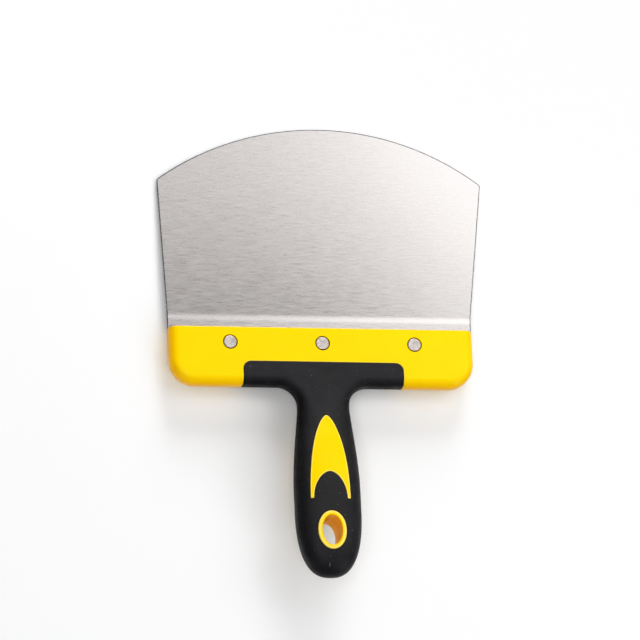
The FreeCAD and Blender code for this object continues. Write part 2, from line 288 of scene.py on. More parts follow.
def line_points(start, end, step):
    """Evenly spaced points on a straight line, both ends included."""
    start, end = np.asarray(start, float), np.asarray(end, float)
    count = max(2, int(round(np.linalg.norm(end - start) / step)) + 1)
    return start + (end - start) * np.linspace(0, 1, count)[:, None]


def join_lines(*lines):
    """The lines one after another, without repeating a shared end point."""
    joined = [lines[0]]
    for line in lines[1:]:
        same = np.linalg.norm(joined[-1][-1] - line[0]) < 1e-6
        joined.append(line[1:] if same else line)
    return np.vstack(joined)


def inside(points, loop):
    """Which points lie inside a closed plan line."""
    x, y = points[:, 0:1], points[:, 1:2]
    x1, y1 = loop[:, 0], loop[:, 1]
    x2, y2 = np.roll(x1, -1), np.roll(y1, -1)
    crosses = (y1 > y) != (y2 > y)
    rise = np.where(y2 == y1, 1.0, y2 - y1)
    at = (x2 - x1) * (y - y1) / rise + x1
    return (np.sum(crosses & (x < at), axis=1) % 2) == 1


def spaced_points(loops, spacing):
    """A staggered grid of points inside the first loop, outside the others and clear of them all."""
    low, high = loops[0].min(axis=0), loops[0].max(axis=0)
    rows = np.arange(low[1], high[1], spacing * math.sqrt(3) / 2)
    columns = np.arange(low[0], high[0], spacing)
    grid = np.array([(x + spacing / 2 * (i % 2), y) for i, y in enumerate(rows) for x in columns])
    keep = inside(grid, loops[0])
    for hole in loops[1:]:
        keep &= ~inside(grid, hole)
    grid = grid[keep]
    border = np.vstack(loops)
    nearest = [np.linalg.norm(border - point, axis=1).min() for point in grid]
    return grid[np.array(nearest) > spacing * CLEAR_SHARE]


def plan_fill(outer, holes=(), spacing=None):
    """Triangles inside outer and outside the holes, over their points and a grid's."""
    loops = [np.asarray(loop, float) for loop in (outer, *holes)]
    edges = []
    first = 0
    for loop in loops:
        count = len(loop)
        edges.extend((first + i, first + (i + 1) % count) for i in range(count))
        first += count
    points = loops + [spaced_points(loops, spacing)] if spacing else loops
    flat = [Vector(p) for p in np.vstack(points)]
    found, _, faces, _, _, _ = delaunay_2d_cdt(flat, edges, [], 0, 1e-7)
    found = np.array([tuple(p) for p in found])
    faces = np.array([tuple(f) for f in faces])
    middles = found[faces].mean(axis=1)
    keep = inside(middles, loops[0])
    for hole in loops[1:]:
        keep &= ~inside(middles, hole)
    return found, faces[keep]


def close_in_plan(shell, loop):
    """Fills a closed 3-D line with triangles between its own points."""
    flat, faces = plan_fill(loop[:, :2])
    order = [int(np.argmin(np.hypot(*(loop[:, :2] - point).T))) for point in flat]
    shell.patch(loop[order], faces)


def roll(shell, loop, outward, radius, side=1, steps=4, edge_tone_and_painted_light=1.0):
    """Rounds a surface over along a closed 3-D line and returns the last row, at the foot of the round.

    outward holds the steps away from the material, level with the plan."""
    along = np.roll(loop, -1, axis=0) - np.roll(loop, 1, axis=0)
    out = np.column_stack([outward, np.zeros(len(outward))])
    normal = side * np.cross(out, along)
    normal /= np.linalg.norm(normal, axis=1)[:, None]
    rows = []
    for turn in np.linspace(0, math.pi / 2, steps + 1):
        rows.append(loop + out * radius * math.sin(turn) - normal * radius * (1 - math.cos(turn)))
    # Each row after the first carries the painted light level given; the default 1 paints a highlight on
    # the round.
    shell.rows(rows, closed=True, edge_tone_and_painted_light=[0.0] + [edge_tone_and_painted_light] * steps)
    return rows[-1]


def two_sided(line, height):
    """A closed 3-D line: the plan line on the front surface, then back along it on the back surface."""
    front, back = (with_height(line, height(line, side)) for side in (1, -1))
    return np.vstack([front, back[::-1]])


def roll_two_sided(shell, line, height, radius, edge_tone_and_painted_light=1.0):
    """Rounds front and back over along an open plan line. Returns the last row's front and back halves."""
    outward = -mitres(line, False)
    round_trip = np.vstack([outward, outward[::-1]])
    last = roll(shell, two_sided(line, height), round_trip, radius, edge_tone_and_painted_light=edge_tone_and_painted_light)
    return last[:len(line)], last[len(line):][::-1]


# ---- the outer surfaces, as heights over the plan ----

def grip_half_width(y):
    widening = np.clip((WAIST_Y - y) / WIDENING, 0.0, 1.0)
    share = np.sin(widening * math.pi / 2) ** WIDENING_POWER
    return NECK_HALF + (GRIP_HALF_WIDTH - NECK_HALF) * share


def end_factor(y, start, power):
    """From 1 at start to 0 at the handle's end, as a superellipse."""
    along = np.clip((start - y) / (start - HANDLE_END), 0.0, 1.0)
    return (1 - along ** power) ** (1 / power)


def camber(y):
    return GRIP_CAMBER * smooth_step((WAIST_Y - y) / GRIP_THICKENING)


def neck_blend(y):
    """0 on the bar and 1 on the grip: how far the flat bar has turned into the oval grip."""
    return smooth_step((BAR_REAR - y) / NECK_BLEND)


def handle_surface(plan, side, sink=0.0):
    """Heights of the handle's front (side 1) or back (side -1), sunk towards the middle by sink."""
    x, y = plan[:, 0], plan[:, 1]
    across = np.abs(x)
    blend = neck_blend(y)
    off_fillet = np.hypot(FILLET_X - across, y - NECK_Y) - NECK_FILLET
    on_bar = np.where(across > FILLET_X, y - BAR_REAR, off_fillet)
    width = grip_half_width(y) * np.maximum(end_factor(y, BUTT_START, BUTT_POWER), 1e-9)
    depth_in = np.where(y > NECK_Y, on_bar, width - across)
    reach = BAR_ROUND + (width - BAR_ROUND) * blend
    rim = np.clip(1 - depth_in / reach, 0.0, 1.0)
    power = 2.0 + (GRIP_SQUARENESS - 2.0) * blend
    rounded = np.maximum(0.0, 1 - rim ** power) ** (1 / power)
    level = rounded * end_factor(y, THIN_START, THIN_POWER)
    full = BAR_HALF + (GRIP_HALF - BAR_HALF) * smooth_step((BAR_REAR - y) / GRIP_THICKENING)
    band = PARTING_HALF + (BAR_BAND - PARTING_HALF) * (1 - blend)
    return camber(y) + side * (band + (full - band) * level - sink)


def bar_surface(plan, side, sink=0.0):
    """Heights of the bar's front or back: flat, and rounded at the sides and the rear."""
    x, y = plan[:, 0], plan[:, 1]
    past_x = np.abs(x) - (BAR_HALF_WIDTH - BAR_CORNER)
    past_y = BAR_CORNER + BAR_REAR - y
    in_corner = (past_x > 0) & (past_y > 0)
    straight = BAR_CORNER - np.maximum(past_x, past_y)
    depth_in = np.where(in_corner, BAR_CORNER - np.hypot(past_x, past_y), straight)
    rim = np.clip(1 - depth_in / BAR_ROUND, 0.0, 1.0)
    return side * (BAR_BAND + BAR_ROUND * np.sqrt(1 - rim ** 2) - sink)


def rim_rows(chain, reach, deepest, steps=10):
    """Plan rows from the outline inwards, spaced evenly round a round of that reach, down to deepest."""
    normals = mitres(chain, False)
    widest = np.arccos(1 - deepest / reach)
    rows = []
    for step in range(steps + 1):
        depth = reach * (1 - np.cos(widest * step / steps))
        rows.append(chain + normals * np.broadcast_to(depth, len(chain))[:, None])
    return rows


# ---- outlines ----

def grip_chain(edge_x):
    """The rubber's outline behind the bar, from the left of the T round the butt to the right."""
    rear = line_points((edge_x, BAR_REAR), (FILLET_X, BAR_REAR), EDGE_STEP)
    fillet = arc_points((FILLET_X, NECK_Y), NECK_FILLET, 90.0, 180.0, 19)
    rows = np.linspace(NECK_Y, BUTT_START, 50)
    flank = np.column_stack([grip_half_width(rows), rows])
    turn = np.linspace(0.0, math.pi / 2, 48)[:-1]
    butt = np.column_stack([
        GRIP_HALF_WIDTH * np.cos(turn) ** (2 / BUTT_POWER),
        BUTT_START - (BUTT_START - HANDLE_END) * np.sin(turn) ** (2 / BUTT_POWER),
    ])
    right = join_lines(rear, fillet, flank, butt)
    chain = np.vstack([right, [[0.0, HANDLE_END]], right[::-1] * (-1, 1)])
    return chain[::-1]


def t_line(half, top, corner, rear_y):
    """The T's sides, corners and top, from its right side anticlockwise to its left side."""
    right = line_points((half, rear_y), (half, top - corner), EDGE_STEP)
    right_arc = arc_points((half - corner, top - corner), corner, 0.0, 90.0, 13)
    across = line_points((half - corner, top), (-half + corner, top), EDGE_STEP)
    left_arc = arc_points((-half + corner, top - corner), corner, 90.0, 180.0, 13)
    left = line_points((-half, top - corner), (-half, rear_y), EDGE_STEP)
    return join_lines(right, right_arc, across, left_arc, left)


def arch(half_width, height, width_power, height_power, count):
    """An arch over the inlay's foot line, from its left foot over the crown to its right foot."""
    turn = np.linspace(0.0, math.pi, count)
    up = np.sin(turn)
    across = np.maximum(0.0, 1 - up ** height_power) ** (1 / width_power)
    return np.column_stack([-np.sign(np.cos(turn)) * half_width * across, INLAY_FOOT + height * up])


def inlay_outline():
    """The spearhead's outline, anticlockwise."""
    outer = arch(INLAY_HALF, INLAY_LENGTH, width_power=1.6, height_power=2.1, count=111)[::-1]
    inner = arch(ARCH_HALF, ARCH_HEIGHT, width_power=1.75, height_power=2.0, count=61)
    return np.vstack([outer, inner])


def oval(offset, count=96):
    """The hang hole's outline moved out by offset, anticlockwise."""
    turn = np.linspace(0, 2 * math.pi, count, endpoint=False)
    line = np.column_stack([HOLE_HALF_WIDTH * np.cos(turn), HOLE_Y + HOLE_HALF_LENGTH * np.sin(turn)])
    return offset_line(line, -offset)


def circle(x, y, radius, count=48):
    turn = np.linspace(0, 2 * math.pi, count, endpoint=False)
    return np.column_stack([x + radius * np.cos(turn), y + radius * np.sin(turn)])


# ---- black rubber ----

def add_parting(shell, chain, height):
    """The band round the outline between front and back, with the mould's parting line along it."""
    middle = camber(chain[:, 1])
    taper = np.minimum(1, np.minimum(np.arange(len(chain)), np.arange(len(chain))[::-1]) / 4)
    ridge = chain - mitres(chain, False) * (PARTING_RIDGE * taper)[:, None]
    rows = [with_height(chain, height(chain, 1)), with_height(chain, middle + PARTING_HALF)]
    rows.append(with_height(ridge, middle))
    rows += [with_height(chain, middle - PARTING_HALF), with_height(chain, height(chain, -1))]
    shell.rows(rows)


def add_gate_mark(shell):
    """The small ridge that the moulding left on the front, near the butt, its top painted paler as a
    painted highlight.
    """
    turn = np.linspace(0, 2 * math.pi, 24, endpoint=False)
    rows = []
    for spread, proud in ((1.25, -0.1), (1.0, 0.6 * GATE_PROUD), (0.6, GATE_PROUD)):
        line = np.column_stack([
            GATE_X + spread * GATE_HALF_WIDTH * np.cos(turn),
            GATE_Y + spread * GATE_HALF_LENGTH * np.sin(turn),
        ])
        rows.append(with_height(line, handle_surface(line, 1, -proud)))
    shell.rows(rows, closed=True, edge_tone_and_painted_light=[0.0, 1.0, 1.0])
    shell.cap(rows[0])
    shell.cap(rows[-1])


def make_grip_rubber(material):
    shell = Shell()
    add_gate_mark(shell)
    edge = T_HALF - SEAM_GAP - SEAM_ROUND
    chain = grip_chain(edge)
    blend = neck_blend(chain[:, 1])
    reach = BAR_ROUND + (grip_half_width(chain[:, 1]) - BAR_ROUND) * blend
    rims = rim_rows(chain, reach, BAR_ROUND + (GRIP_RIM - BAR_ROUND) * blend)
    for side in (1, -1):
        shell.rows([with_height(row, handle_surface(row, side)) for row in rims])
    add_parting(shell, chain, handle_surface)
    inner_y = rims[-1][0, 1]
    corner = T_CORNER - SEAM_GAP - SEAM_ROUND
    top_line = t_line(edge, T_TOP - SEAM_GAP - SEAM_ROUND, corner, inner_y)
    inlay_seam = offset_line(inlay_outline(), -SEAM_GAP - SEAM_ROUND)
    seams = [inlay_seam, oval(SLEEVE_WALL + SEAM_GAP + SEAM_ROUND)]
    plan, faces = plan_fill(np.vstack([rims[-1], top_line[1:-1]]), seams, CURVED_STEP)
    for side in (1, -1):
        shell.patch(with_height(plan, handle_surface(plan, side)), faces)
    right_end = np.array([row[-1] for row in rims])
    left_end = np.array([row[0] for row in rims])
    whole_line = join_lines(right_end, top_line, left_end[::-1])
    shell.rows(roll_two_sided(shell, whole_line, handle_surface, SEAM_ROUND, edge_tone_and_painted_light=0.0))
    feet = []
    for side in (1, -1):
        for number, seam in enumerate(seams):
            line = seam[::-1]
            loop = with_height(line, handle_surface(line, side))
            foot = roll(shell, loop, -mitres(line, True), SEAM_ROUND, side, edge_tone_and_painted_light=0.0)
            if number == 0:
                floor = foot - (0, 0, side * SEAM_DEPTH)
                shell.rows([foot, floor], closed=True)
                close_in_plan(shell, floor)
            else:
                feet.append(foot)
    shell.rows(feet, closed=True)
    return shell.piece("grip_rubber", "black_rubber", material, ["grip_overmould"])


# ---- yellow plastic ----

def add_recess(shell, x, side):
    """A rivet's recess: a rounded edge, a wall and a floor, with painted shade on the wall and floor."""
    line = circle(x, RIVET_Y, RECESS_RADIUS + SEAM_ROUND)[::-1]
    loop = with_height(line, side * BAR_HALF)
    foot = roll(shell, loop, -mitres(line, True), SEAM_ROUND, side, edge_tone_and_painted_light=0.0)
    floor = with_height(foot[:, :2], side * RECESS_FLOOR)
    # The wall and the floor get painted shade, darkened where the recess lies in shade.
    shell.rows([foot, floor], closed=True, edge_tone_and_painted_light=[0.0, RECESS_SHADE])
    shell.patch(floor, [range(len(floor))], RECESS_SHADE)


def add_slot(shell, front_loop):
    """The bar's front wall with the blade's slot in it."""
    wide, high = TANG_HALF + 2 * SLOT_GAP, SHEET_HALF + SLOT_GAP
    mouth = np.array([(-wide, -high), (wide, -high), (wide, high), (-wide, high)])
    flat, faces = plan_fill(front_loop[:, [0, 2]], [mouth])
    shell.patch(np.column_stack([flat[:, 0], np.zeros(len(flat)), flat[:, 1]]), faces)
    ends = [np.insert(mouth, 1, y, axis=1) for y in (0.0, -TANG_DEPTH - 2 * SLOT_GAP)]
    shell.rows(ends, closed=True)
    shell.cap(ends[1])


def make_clamp_bar(material):
    shell = Shell()
    edge = T_HALF + SEAM_GAP + SEAM_ROUND
    arc_x, arc_y = BAR_HALF_WIDTH - BAR_CORNER, BAR_REAR + BAR_CORNER
    left = join_lines(
        line_points((-BAR_HALF_WIDTH, -BAR_FRONT_ROUND), (-BAR_HALF_WIDTH, arc_y), EDGE_STEP),
        arc_points((-arc_x, arc_y), BAR_CORNER, 180.0, 270.0, 33),
        line_points((-arc_x, BAR_REAR), (-edge, BAR_REAR), EDGE_STEP),
    )
    right = left[::-1] * (-1, 1)
    left_rims, right_rims = (rim_rows(chain, BAR_ROUND, BAR_ROUND, 12) for chain in (left, right))
    for rims in (left_rims, right_rims):
        for side in (1, -1):
            shell.rows([with_height(row, bar_surface(row, side)) for row in rims])
        ends = [with_height(rims[0], bar_surface(rims[0], side)) for side in (1, -1)]
        shell.rows(ends)
    top = T_TOP + SEAM_GAP + SEAM_ROUND
    corner = T_CORNER + SEAM_GAP + SEAM_ROUND
    notch = t_line(edge, top, corner, BAR_REAR + BAR_ROUND)[::-1]
    front = line_points(right_rims[-1][-1], left_rims[-1][0], 2 * EDGE_STEP)
    outline = join_lines(left_rims[-1], notch, right_rims[-1], front)[:-1]
    holes = [circle(x, RIVET_Y, RECESS_RADIUS + SEAM_ROUND) for x in RIVET_X.values()]
    plan, faces = plan_fill(outline, holes, FLAT_STEP)
    for side in (1, -1):
        shell.patch(with_height(plan, side * BAR_HALF), faces)
        for x in RIVET_X.values():
            add_recess(shell, x, side)
    left_end = np.array([row[-1] for row in left_rims])
    right_end = np.array([row[0] for row in right_rims])
    whole_notch = join_lines(left_end, notch, right_end[::-1])
    # The round along the rubber's T is painted paler: a painted highlight.
    shell.rows(roll_two_sided(shell, whole_notch, bar_surface, SEAM_ROUND))
    left_front = np.array([row[0] for row in left_rims])
    right_front = np.array([row[-1] for row in right_rims])
    whole_front = join_lines(right_front, front, left_front[::-1])
    halves = roll_two_sided(shell, whole_front, bar_surface, BAR_FRONT_ROUND, edge_tone_and_painted_light=0.0)
    add_slot(shell, np.vstack([halves[0], halves[1][::-1]]))
    return shell.piece("clamp_bar", "yellow_plastic", material, ["handle_core"])


def make_inlay(name, side, material):
    """The spearhead of core plastic that shows through the rubber."""
    shell = Shell()
    top_line = offset_line(inlay_outline(), SEAM_ROUND)
    inner_line = offset_line(inlay_outline(), SEAM_ROUND + RIM_HIGHLIGHT)
    plan, faces = plan_fill(inner_line, spacing=CURVED_STEP)
    shell.patch(with_height(plan, handle_surface(plan, side, -INLAY_PROUD)), faces)
    inner = with_height(inner_line, handle_surface(inner_line, side, -INLAY_PROUD))
    loop = with_height(top_line, handle_surface(top_line, side, -INLAY_PROUD))
    # The inlay's border and its rounded edge are painted paler: a painted highlight.
    shell.rows([inner, loop], closed=True, edge_tone_and_painted_light=[0.0, 1.0])
    foot = roll(shell, loop, -mitres(top_line, True), SEAM_ROUND, side)
    bottom = foot - (0, 0, side * (SEAM_DEPTH - INLAY_PROUD * 2))
    shell.rows([foot, bottom], closed=True)
    close_in_plan(shell, bottom)
    return shell.piece(name, "yellow_plastic", material)


def make_hang_sleeve(material):
    """The oval sleeve through the grip, with a rounded lip at each end and a parting line inside."""
    quarter = np.radians([0, 18, 36, 54, 72, 90])
    lip = [(SLEEVE_WALL - LIP_OUTER * (1 - math.cos(t)), LIP_OUTER * (1 - math.sin(t))) for t in quarter]
    lip += [(LIP_INNER * (1 - math.sin(t)), LIP_INNER * (1 - math.cos(t))) for t in quarter]
    beside, ridge = -SLEEVE_DRAFT, -SLEEVE_DRAFT - SLEEVE_FLASH

    def lip_rows(side):
        made = []
        for offset, below in lip:
            line = oval(offset)
            made.append(with_height(line, handle_surface(line, side, below - SLEEVE_PROUD)))
        return made

    middle = []
    for offset, z in ((beside, 0.35), (ridge, 0.12), (ridge, -0.12), (beside, -0.35)):
        middle.append(with_height(oval(offset), GRIP_CAMBER + z))
    rows = lip_rows(1) + middle + lip_rows(-1)[::-1]
    # The outer round of each lip is painted paler: a painted highlight.
    lip_highlight = [1.0] * len(quarter) + [0.0] * len(quarter)
    edge_tone_and_painted_light = lip_highlight + [0.0] * len(middle) + lip_highlight[::-1]
    shell = Shell()
    shell.rows(rows + rows[:1], closed=True, edge_tone_and_painted_light=edge_tone_and_painted_light + edge_tone_and_painted_light[:1])
    return shell.piece("hang_sleeve", "yellow_plastic", material)


# ---- rivets ----

def lathe(shell, x, y, profile, count=56):
    """A turned solid from (radius, z) points, closed at both ends."""
    rows = [with_height(circle(x, y, radius, count), z) for radius, z in profile]
    shell.rows(rows, closed=True)
    shell.cap(rows[0])
    shell.cap(rows[-1])


def rivet_face(outer_z, side):
    """A head's outer face and rim: a shallow dish inside a rounded edge."""
    dish = [(0.6, 0.16), (1.8, 0.14), (2.7, 0.07), (3.2, 0.015)]
    edge = [(3.5, 0.0), (3.7, 0.03), (3.83, 0.1), (RIVET_HEAD_RADIUS, 0.24)]
    return [(radius, outer_z - side * drop) for radius, drop in dish + edge]


def make_rivet_post(name, x, material):
    shell = Shell()
    profile = rivet_face(RECESS_FLOOR + RIVET_HEAD, 1)
    profile += [(RIVET_HEAD_RADIUS, RECESS_FLOOR), (POST_RADIUS, RECESS_FLOOR), (POST_RADIUS, POST_TIP)]
    lathe(shell, x, RIVET_Y, profile)
    node = "rivet_%s_post" % name
    return shell.piece("%s_head" % node, "rivet_metal", material, [node], sharp=35.0)


def make_rivet_cap(name, x, material):
    shell = Shell()
    profile = rivet_face(-RECESS_FLOOR - RIVET_HEAD, -1)
    profile += [(RIVET_HEAD_RADIUS, -RECESS_FLOOR), (TUBE_RADIUS, -RECESS_FLOOR), (TUBE_RADIUS, TUBE_END)]
    profile += [(TUBE_BORE, TUBE_END), (TUBE_BORE, -RECESS_FLOOR)]
    lathe(shell, x, RIVET_Y, profile)
    node = "rivet_%s_cap" % name
    return shell.piece("%s_head" % node, "rivet_metal", material, [node], sharp=35.0)


# ---- blade ----

BLADE_LEAN = math.atan2(BLADE_EDGE - BLADE_ROOT, BLADE_SIDE - BEND_TANGENT)
EDGE_RADIUS = (BLADE_EDGE ** 2 + BLADE_RISE ** 2) / (2 * BLADE_RISE)
PLATE_START = BEND_START + BEND_LENGTH              # along the sheet from the bar's front edge
PLATE_SHIFT = PLATE_START - BEND_TANGENT
EDGE_CENTRE = PLATE_SHIFT + BLADE_SIDE + BLADE_RISE - EDGE_RADIUS
ARC_ROW = PLATE_SHIFT + 60.0                        # the last straight row below the curved edge


def blade_side_x(along):
    return BLADE_ROOT + np.maximum(0.0, along - PLATE_START) * math.tan(BLADE_LEAN)


def blade_corner_centre():
    """Centre of the corner's round: as far from the side as from the curved edge."""
    inset_x = BLADE_CORNER / math.cos(BLADE_LEAN)
    low, high = ARC_ROW, PLATE_SHIFT + BLADE_SIDE
    for _ in range(50):
        along = (low + high) / 2
        reach = math.hypot(blade_side_x(along) - inset_x, along - EDGE_CENTRE)
        low, high = (along, high) if reach < EDGE_RADIUS - BLADE_CORNER else (low, along)
    return float(blade_side_x(low) - inset_x), low


def blade_top(inset):
    """The curved edge with its rounded corners, from the right side to the left."""
    x, along = blade_corner_centre()
    lift = math.degrees(math.atan2(along - EDGE_CENTRE, x))
    corner = arc_points((x, along), BLADE_CORNER - inset, -math.degrees(BLADE_LEAN), lift, 9)
    edge = arc_points((0.0, EDGE_CENTRE), EDGE_RADIUS - inset, lift, 180 - lift, 97)
    return join_lines(corner, edge[1:-1], corner[::-1] * (-1, 1))


def blade_grids(inset):
    """Plan grids of the blade and of its tang, laid flat: rows from the bar outwards, right to left."""
    top = blade_top(inset)
    share = top[:, 0] / top[:, 0].max()
    share[0], share[-1] = 1.0, -1.0
    tang_column = int(np.argmin(np.abs(share - TANG_HALF / BLADE_ROOT)))
    share[tang_column], share[-1 - tang_column] = TANG_HALF / BLADE_ROOT, -TANG_HALF / BLADE_ROOT
    bend = np.linspace(BEND_START, PLATE_START, 9)
    rows = np.concatenate([[0.0, BEND_START / 2], bend, np.linspace(PLATE_START, ARC_ROW, 9)[1:]])
    half = blade_side_x(rows) - inset / math.cos(BLADE_LEAN)
    main = [np.column_stack([share * h, np.full(len(share), row)]) for h, row in zip(half, rows)]
    last = main[-1]
    main += [last + (top - last) * v for v in np.linspace(0, 1, 9)[1:]]
    inner = slice(tang_column, len(share) - tang_column)
    tang_x = share[inner] * half[0]
    tang = [np.column_stack([tang_x, np.full(len(tang_x), y)]) for y in (-TANG_DEPTH, -TANG_DEPTH / 2, 0.0)]
    return main, tang, tang_column


def blade_boundary(inset):
    """The closed plan line round the blade and its tang."""
    main, tang, column = blade_grids(inset)
    right_side = np.array([row[0] for row in main])
    left_side = np.array([row[-1] for row in main])[::-1]
    tang_right = np.array([row[0] for row in tang])
    tang_left = np.array([row[-1] for row in tang])[::-1]
    bottom_left = main[0][::-1][:column + 1]
    bottom_right = main[0][:column + 1][::-1]
    return join_lines(
        right_side, main[-1], left_side, bottom_left, tang_left, tang[0][::-1], tang_right, bottom_right
    )[:-1]


def bent_sheet(flat):
    """Points of the flat sheet after the bend: Y is read as the length along its middle."""
    x, along, height = flat.T
    angle = np.clip((along - BEND_START) / BEND_RADIUS, 0.0, BEND_ANGLE)
    beyond = np.maximum(0.0, along - PLATE_START)
    y = np.minimum(along, BEND_START) + BEND_RADIUS * np.sin(angle) + beyond * math.cos(BEND_ANGLE)
    z = BEND_RADIUS * (1 - np.cos(angle)) + beyond * math.sin(BEND_ANGLE)
    return np.column_stack([x, y - height * np.sin(angle), z + height * np.cos(angle)])


def make_blade(material):
    shell = Shell()
    main, tang, _ = blade_grids(BLADE_BORDER)
    for side in (1, -1):
        for grid in (main, tang):
            shell.rows([with_height(row, side * SHEET_HALF) for row in grid])
    turns = np.linspace(0, math.pi / 2, 4)
    arris = [(BLADE_ARRIS * (1 - math.sin(t)), BLADE_ARRIS * (1 - math.cos(t))) for t in turns]
    front = [(BLADE_BORDER, SHEET_HALF), (BLADE_GROUND, SHEET_HALF)]
    front += [(inset, SHEET_HALF - drop) for inset, drop in arris]
    steps = front + [(inset, -height) for inset, height in front[::-1]]
    rows = [with_height(blade_boundary(inset), height) for inset, height in steps]
    # The rows round the edge are painted nearly black: the cut edge's darker tone together with a painted
    # dark reflection.
    shell.rows(rows, closed=True, edge_tone_and_painted_light=[0.0] + [1.0] * (len(rows) - 2) + [0.0])
    return shell.piece("blade_sheet", "blade_steel", material, ["blade"], shape=bent_sheet)


# ---- materials ----

class Finish:
    """A Principled material and the nodes that vary it."""

    def __init__(self, name, **sockets):
        self.material = bpy.data.materials.new(name)
        self.material.use_nodes = True
        self.tree = self.material.node_tree
        self.shader = self.tree.nodes["Principled BSDF"]
        for socket, value in sockets.items():
            self.shader.inputs[socket.replace("_", " ")].default_value = value
        self.place = self.node("TexCoord").outputs["Object"]

    def node(self, kind, inputs=None, **settings):
        made = self.tree.nodes.new("ShaderNode" + kind)
        for name, value in settings.items():
            setattr(made, name, value)
        for name, value in (inputs or {}).items():
            if isinstance(value, bpy.types.NodeSocket):
                self.tree.links.new(value, made.inputs[name])
            else:
                made.inputs[name].default_value = value
        return made

    def noise(self, size, detail=3.0, roughness=0.5, seed=0.0):
        """Noise from 0 to 1 whose spots are about size mm, given as one number or one for each axis."""
        sizes = size if isinstance(size, tuple) else (size, size, size)
        scaled = self.node("Mapping", {"Vector": self.place, "Location": (seed, seed, seed)})
        scaled.inputs["Scale"].default_value = [1 / (s * MM) for s in sizes]
        inputs = {"Vector": scaled.outputs[0], "Scale": 1.0, "Detail": detail, "Roughness": roughness}
        return self.node("TexNoise", inputs).outputs["Fac"]

    def remap(self, value, low, high, to_low=0.0, to_high=1.0):
        inputs = {"Value": value, "From Min": low, "From Max": high, "To Min": to_low, "To Max": to_high}
        return self.node("MapRange", inputs).outputs["Result"]

    def blend(self, share, a, b):
        """A colour mixed by share, which counts as 0 where it is under 0."""
        return self.node("Mix", {0: share, 6: a, 7: b}, data_type="RGBA").outputs[2]

    def math(self, operation, a, b):
        return self.node("Math", {0: a, 1: b}, operation=operation).outputs[0]

    def attribute(self, name):
        return self.node("Attribute", attribute_name=name).outputs["Fac"]

    def bump(self, height, depth):
        """The normal of a relief depth mm deep."""
        return self.node("Bump", {"Height": height, "Distance": depth * MM}).outputs["Normal"]

    def use(self, socket, value):
        self.tree.links.new(value, self.shader.inputs[socket])


def yellow_finish():
    finish = Finish("yellow_plastic_moulded", IOR=1.48, Specular_IOR_Level=0.3)
    mottle = finish.noise(14.0, detail=2.0)
    base = finish.blend(mottle, (0.90, 0.575, 0.0, 1), (0.94, 0.615, 0.002, 1))
    # Painted shade: where the surface turns away from the front and back, the colour is darkened and made
    # more orange, standing in for the shade on the rounded sides.
    normal = finish.node("TexCoord").outputs["Normal"]
    upright = finish.node("SeparateXYZ", {"Vector": normal}).outputs["Z"]
    steep_side_shade = finish.remap(finish.math("ABSOLUTE", upright, 0.0), 0.96, 0.35)
    base = finish.blend(finish.math("MULTIPLY", steep_side_shade, 0.8), base, (0.88, 0.44, 0.0, 1))
    # Painted highlight: where the level is over 0, edges are paled towards light yellow, standing in for
    # light caught along rounded edges.
    edge = finish.attribute("painted_light_and_edge_tone")
    base = finish.blend(finish.math("MULTIPLY", edge, 0.8), base, (0.96, 0.75, 0.16, 1))
    # Painted shade: the rivet recesses' walls and floors are darkened to dark brown, standing in for the
    # shade in them.
    painted_recess_shade = finish.math("MULTIPLY", edge, 0.85 * RECESS_SHADE)        # over 0 only where the level is under 0, in the recesses: painted shade
    base = finish.blend(painted_recess_shade, base, (0.10, 0.05, 0.01, 1))
    finish.use("Base Color", base)
    smears = finish.noise((9.0, 5.0, 5.0), detail=4.0, seed=3.0)
    finish.use("Roughness", finish.remap(smears, 0.3, 0.7, 0.31, 0.41))
    grain = finish.noise(0.35, detail=2.0)
    finish.use("Normal", finish.bump(grain, 0.006))
    return finish.material


def rubber_finish():
    finish = Finish("black_rubber_moulded", IOR=1.5, Specular_IOR_Level=0.3)
    cloud = finish.noise(11.0, detail=3.0)
    base = finish.blend(cloud, (0.0200, 0.0197, 0.0208, 1), (0.0272, 0.0267, 0.0283, 1))
    dust = finish.remap(finish.noise(0.9, detail=1.0, seed=7.0), 0.74, 0.80)
    base = finish.blend(finish.math("MULTIPLY", dust, 0.6), base, (0.22, 0.22, 0.23, 1))
    # Painted highlight: the gate mark's top is paled to grey.
    painted_gate_highlight = finish.attribute("painted_light_and_edge_tone")
    base = finish.blend(finish.math("MULTIPLY", painted_gate_highlight, 0.6), base, (0.16, 0.16, 0.17, 1))
    finish.use("Base Color", base)
    smears = finish.noise(6.0, detail=4.0, seed=2.0)
    finish.use("Roughness", finish.remap(smears, 0.3, 0.7, 0.50, 0.62))
    grain = finish.noise(0.28, detail=2.0, roughness=0.6)
    finish.use("Normal", finish.bump(grain, 0.02))
    return finish.material


def steel_finish():
    finish = Finish("blade_steel_brushed", Metallic=1.0, Anisotropic=0.25)
    fine = finish.noise((9.0, 0.34, 50.0), detail=3.0, roughness=0.6)
    coarse = finish.noise((13.0, 1.1, 50.0), detail=2.0, seed=5.0)
    cloud = finish.noise((34.0, 12.0, 60.0), detail=2.0, seed=9.0)
    most, rest = finish.math("MULTIPLY", fine, 0.7), finish.math("MULTIPLY", coarse, 0.3)
    lines = finish.math("ADD", most, rest)
    base = finish.blend(cloud, (0.455, 0.425, 0.415, 1), (0.485, 0.47, 0.465, 1))
    base = finish.blend(finish.remap(lines, 0.36, 0.64), base, (0.565, 0.54, 0.53, 1))
    # The edge band: the cut edge's darker tone, painted nearly black as a painted dark reflection along the
    # edge.
    edge = finish.attribute("painted_light_and_edge_tone")
    base = finish.blend(finish.math("MULTIPLY", edge, 0.95), base, (0.06, 0.06, 0.065, 1))
    finish.use("Base Color", base)
    finish.use("Roughness", finish.remap(lines, 0.3, 0.7, 0.22, 0.34))
    finish.use("Normal", finish.bump(lines, 0.007))
    tangent = finish.node("Tangent", direction_type="UV_MAP", uv_map="along_y")
    finish.use("Tangent", tangent.outputs[0])
    return finish.material


